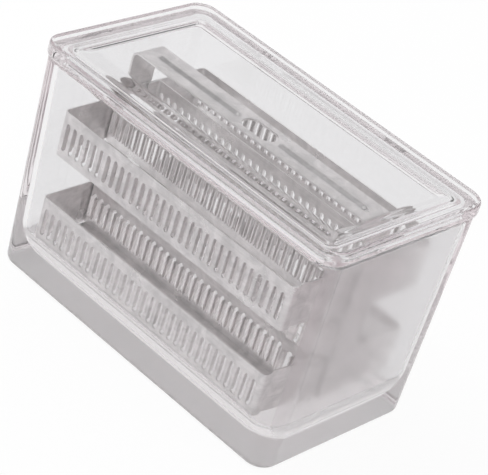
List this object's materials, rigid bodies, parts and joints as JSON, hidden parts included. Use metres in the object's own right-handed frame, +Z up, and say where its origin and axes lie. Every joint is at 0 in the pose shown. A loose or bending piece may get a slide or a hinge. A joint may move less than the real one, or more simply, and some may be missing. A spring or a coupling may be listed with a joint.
{
  "type": "slide staining jar",
  "caption": "Rectangular clear glass jar with a flat overhanging lid, holding a tiered, slotted steel rack for microscope slides with a ribbed lifting handle.",
  "frame": {"origin": "centre of the jar's outline, on the plane of the base's underside", "axes": "+X along the long side, towards one end wall; +Y across the jar, towards the back long wall; +Z up, towards the lid"},
  "size_m": [0.17, 0.096, 0.1096],
  "materials": {
    "clear_glass": "clear moulded glass, fire-polished",
    "stainless_steel": "satin folded sheet"
  },
  "bodies": {
    "jar": {"glass_jar": "clear_glass", "upper_ring": "stainless_steel", "upper_front_divider": "stainless_steel", "upper_back_divider": "stainless_steel", "lower_ring": "stainless_steel", "lower_front_divider": "stainless_steel", "lower_back_divider": "stainless_steel", "lifting_handle": "stainless_steel"},
    "lid": {"glass_lid": "clear_glass"}
  },
  "joints": [
    {"name": "lid_lift", "type": "slide", "parent": "jar", "child": "lid", "axis": [0, 0, 1], "range_m": [0, 0.1]}
  ]
}
